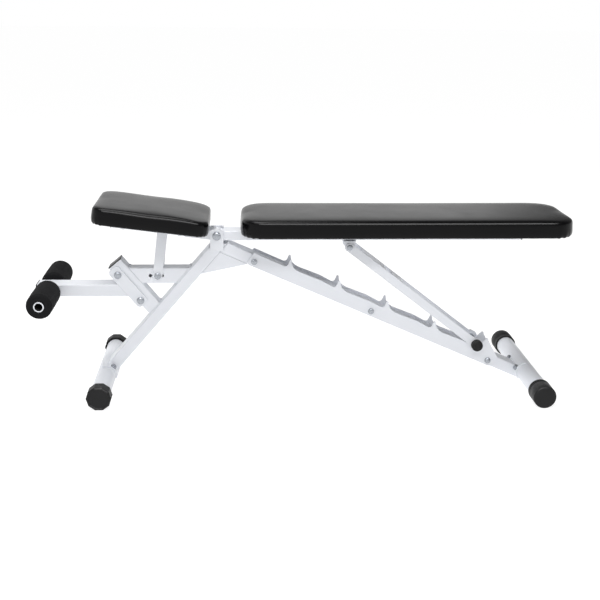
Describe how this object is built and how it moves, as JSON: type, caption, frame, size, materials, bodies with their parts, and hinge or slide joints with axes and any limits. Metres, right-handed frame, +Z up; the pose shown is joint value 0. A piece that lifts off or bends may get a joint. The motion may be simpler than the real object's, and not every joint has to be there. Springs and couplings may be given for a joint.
{
  "type": "decline sit up bench",
  "caption": "Decline sit up bench with a padded seat, a padded backrest propped by a strut in a notched rail, and foam ankle rollers.",
  "frame": {"origin": "centre of the footprint on the floor", "axes": "+X towards the head end of the backrest, +Y towards the far side, +Z up"},
  "size_m": [1.3452, 0.46, 0.4824],
  "materials": {
    "white_paint": "white powder coat, semi gloss",
    "zinc_hardware": "bright zinc plate",
    "black_rubber": "moulded black rubber, satin",
    "black_plug": "moulded black polyethylene",
    "black_vinyl": "smooth black vinyl over foam, glossy",
    "black_foam": "closed-cell foam, matt",
    "board": "board under black backing cloth"
  },
  "bodies": {
    "frame": {"front_leg": "white_paint", "rail_tube": "white_paint", "gusset_near": "white_paint", "gusset_far": "white_paint", "hinge_ear_near": "white_paint", "hinge_ear_far": "white_paint", "seat_support_tube": "white_paint", "brace_tube": "white_paint", "brace_end_plug": "black_plug", "notch_plate_near": "white_paint", "notch_plate_far": "white_paint", "plate_bolt_front": "zinc_hardware", "plate_bolt_middle": "zinc_hardware", "plate_bolt_rear": "zinc_hardware", "front_foot_tube": "white_paint", "front_saddle": "white_paint", "front_cap_near": "black_rubber", "front_cap_far": "black_rubber", "front_saddle_bolt_near": "zinc_hardware", "front_saddle_bolt_far": "zinc_hardware", "rear_foot_tube": "white_paint", "rear_saddle": "white_paint", "rear_sleeve_near": "black_rubber", "rear_sleeve_far": "black_rubber", "rear_saddle_bolt_near": "zinc_hardware", "rear_saddle_bolt_far": "zinc_hardware", "roller_arm": "white_paint", "arm_ear_near": "white_paint", "arm_ear_far": "white_paint", "arm_end_plug": "black_plug", "axle_tube": "white_paint", "arm_bolt_upper": "zinc_hardware", "arm_bolt_lower": "zinc_hardware", "pivot_bolt": "zinc_hardware", "pivot_nut": "zinc_hardware"},
    "backrest": {"backrest_tube": "white_paint", "backrest_tube_plug": "black_plug", "backrest_board": "board", "backrest_pad": "black_vinyl", "strut_bracket": "white_paint", "strut_pin": "zinc_hardware"},
    "strut": {"strut": "white_paint", "cross_rod": "zinc_hardware", "grip_near": "black_rubber", "grip_far": "black_rubber"},
    "seat": {"seat_tube": "white_paint", "seat_tube_plug": "black_plug", "seat_plate_near": "white_paint", "seat_plate_far": "white_paint", "seat_board": "board", "seat_pad": "black_vinyl", "seat_bolt_front": "zinc_hardware", "seat_bolt_rear": "zinc_hardware", "post_top_pin": "zinc_hardware"},
    "seat_post": {"seat_post": "white_paint", "post_bolt_near": "zinc_hardware", "post_bolt_far": "zinc_hardware"},
    "roller_near": {"foam_roller_near": "black_foam"},
    "roller_far": {"foam_roller_far": "black_foam"}
  },
  "joints": [
    {"name": "backrest_hinge", "type": "hinge", "parent": "frame", "child": "backrest", "pos_m": [-0.21735, 0, 0.392], "axis": [0, -1, 0], "range_deg": [0, 88.95]},
    {"name": "strut_swing", "type": "hinge", "parent": "backrest", "child": "strut", "pos_m": [0.11765, 0, 0.363], "axis": [0, -1, 0], "range_deg": [-122.6, 0]},
    {"name": "seat_hinge", "type": "hinge", "parent": "frame", "child": "seat", "pos_m": [-0.21735, 0, 0.392], "axis": [0, -1, 0], "range_deg": [0, 1.51]},
    {"name": "post_swing", "type": "hinge", "parent": "seat", "child": "seat_post", "pos_m": [-0.35231, 0, 0.40881], "axis": [0, -1, 0], "range_deg": [-10, 0]},
    {"name": "roller_near_spin", "type": "hinge", "parent": "frame", "child": "roller_near", "pos_m": [-0.64035, -0.102, 0.251], "axis": [0, 1, 0], "continuous": true},
    {"name": "roller_far_spin", "type": "hinge", "parent": "frame", "child": "roller_far", "pos_m": [-0.64035, 0.102, 0.251], "axis": [0, 1, 0], "continuous": true}
  ],
  "couplings": [
    {"joint": "strut_swing", "follows": "backrest_hinge", "ratio": -1.378},
    {"joint": "post_swing", "follows": "seat_hinge", "ratio": -6.59}
  ]
}
